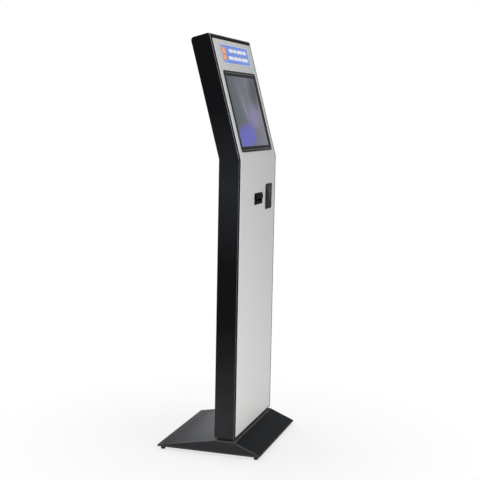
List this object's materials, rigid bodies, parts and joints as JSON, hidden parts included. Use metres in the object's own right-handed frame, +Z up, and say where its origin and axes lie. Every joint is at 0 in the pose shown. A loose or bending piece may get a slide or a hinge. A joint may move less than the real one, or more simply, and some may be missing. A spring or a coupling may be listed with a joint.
{
  "type": "queue ticket kiosk",
  "caption": "Floor-standing queue ticket kiosk: slim steel column with a leaning touch screen head, sign plate, ticket mouth and reader window on a sloped base, with its printer and rear door.",
  "frame": {"origin": "centre of the base's footprint, on the floor", "axes": "+Z up, -Y towards the person who uses the screen, +X to that person's right"},
  "size_m": [0.508, 0.41, 1.5817],
  "materials": {
    "black_steel": "fine satin powder coat",
    "white_steel": "satin white powder coat",
    "zinc_steel": "zinc plated",
    "bright_steel": "bright turned steel",
    "tool_steel": "ground",
    "grey_steel": "grey coated sheet",
    "sign_film": "printed blue film on acrylic",
    "black_plastic": "fine texture",
    "gloss_black": "polished dark window",
    "screen_glass": "clear cover glass over a dark display",
    "lcd": "display face",
    "rubber": "moulded",
    "circuit": "solder mask",
    "thermal_paper": "smooth",
    "cardboard": "wound",
    "white_nylon": "moulded",
    "brass": "sintered",
    "die_cast": "black anodised",
    "heat_sink": "milled",
    "red_plastic": "moulded",
    "blue_plastic": "moulded"
  },
  "bodies": {
    "kiosk": {"base_cover": "black_steel", "base_feet": "rubber", "base_plate": "grey_steel", "base_riser": "zinc_steel", "body_hinge_leaves": "black_steel", "column_bolts": "zinc_steel", "column_plinth": "black_steel", "computer": "die_cast", "cover_pin": "bright_steel", "cutter_body": "black_plastic", "display_board": "circuit", "display_brackets": "zinc_steel", "display_chassis": "zinc_steel", "equipment_plate": "zinc_steel", "fan_frame": "black_plastic", "feed_motor": "grey_steel", "front_panel": "white_steel", "head_bracket": "zinc_steel", "head_cover": "black_steel", "hex_screws": "zinc_steel", "hinge_pins": "bright_steel", "housing": "black_steel", "idler_axle": "bright_steel", "lcd_module": "lcd", "panel_rails": "zinc_steel", "paper_bucket": "black_plastic", "paper_spindle": "white_nylon", "power_inlet": "black_plastic", "power_supply": "heat_sink", "print_head": "heat_sink", "printer_board": "circuit", "printer_frame": "zinc_steel", "printer_shelf": "zinc_steel", "reader_frame": "gloss_black", "reader_module": "black_plastic", "reader_window": "gloss_black", "screen_bezel": "black_plastic", "sign_plate": "sign_film", "ticket_bezel": "black_plastic", "touch_glass": "screen_glass"},
    "door": {"rear_door": "black_steel", "door_hinge_leaves": "black_steel", "lock_body": "bright_steel", "lock_nut": "zinc_steel"},
    "lock_plug": {"lock_plug": "bright_steel"},
    "fan_rotor": {"fan_rotor": "black_plastic"},
    "printer_cover": {"printer_cover": "blue_plastic", "platen_bushes": "brass"},
    "platen": {"platen_shaft": "bright_steel", "platen_roller": "rubber", "platen_gear": "white_nylon"},
    "idler": {"idler_gear": "white_nylon"},
    "pinion": {"motor_pinion": "brass", "motor_shaft": "bright_steel"},
    "paper_roll": {"paper_roll": "thermal_paper", "roll_core": "cardboard"},
    "cutter_blade": {"cutter_blade": "tool_steel"},
    "feed_button": {"feed_button": "red_plastic"},
    "power_rocker": {"power_rocker": "red_plastic"},
    "computer_button": {"computer_button": "white_nylon"}
  },
  "joints": [
    {"name": "door_hinge", "type": "hinge", "parent": "kiosk", "child": "door", "pos_m": [0.234, -0.0195, 0.63252], "axis": [0, 0, -1], "range_deg": [0, 110]},
    {"name": "lock_turn", "type": "hinge", "parent": "door", "child": "lock_plug", "pos_m": [-0.214, -0.024, 0.63252], "axis": [0, 1, 0], "range_deg": [0, 90]},
    {"name": "fan_spin", "type": "hinge", "parent": "kiosk", "child": "fan_rotor", "pos_m": [0, 0.07029, 1.47493], "axis": [0, 0.9659, -0.2588], "continuous": true},
    {"name": "printer_cover_hinge", "type": "hinge", "parent": "kiosk", "child": "printer_cover", "pos_m": [0, -0.038, 0.96804], "axis": [-1, 0, 0], "range_deg": [0, 60]},
    {"name": "platen_spin", "type": "hinge", "parent": "printer_cover", "child": "platen", "pos_m": [0, -0.06, 0.96619], "axis": [1, 0, 0], "continuous": true},
    {"name": "idler_spin", "type": "hinge", "parent": "kiosk", "child": "idler", "pos_m": [0, -0.06, 0.94699], "axis": [1, 0, 0], "continuous": true},
    {"name": "pinion_spin", "type": "hinge", "parent": "kiosk", "child": "pinion", "pos_m": [0, -0.068, 0.93314], "axis": [1, 0, 0], "continuous": true},
    {"name": "roll_spin", "type": "hinge", "parent": "kiosk", "child": "paper_roll", "pos_m": [0, -0.066, 0.88004], "axis": [1, 0, 0], "continuous": true},
    {"name": "blade_slide", "type": "slide", "parent": "kiosk", "child": "cutter_blade", "axis": [0, 0, 1], "range_m": [0, 0.009]},
    {"name": "feed_button_press", "type": "slide", "parent": "kiosk", "child": "feed_button", "axis": [1, 0, 0], "range_m": [0, 0.0012], "stiffness_N_per_m": 800},
    {"name": "power_rocker_tilt", "type": "hinge", "parent": "kiosk", "child": "power_rocker", "pos_m": [0.15, -0.0255, 0.134], "axis": [-1, 0, 0], "range_deg": [0, 18]},
    {"name": "computer_button_press", "type": "slide", "parent": "kiosk", "child": "computer_button", "axis": [0, 0, -1], "range_m": [0, 0.0012], "stiffness_N_per_m": 600}
  ],
  "couplings": [
    {"joint": "platen_spin", "follows": "roll_spin", "ratio": -4.6667},
    {"joint": "idler_spin", "follows": "roll_spin", "ratio": 3.3333},
    {"joint": "pinion_spin", "follows": "roll_spin", "ratio": -7.7778}
  ]
}
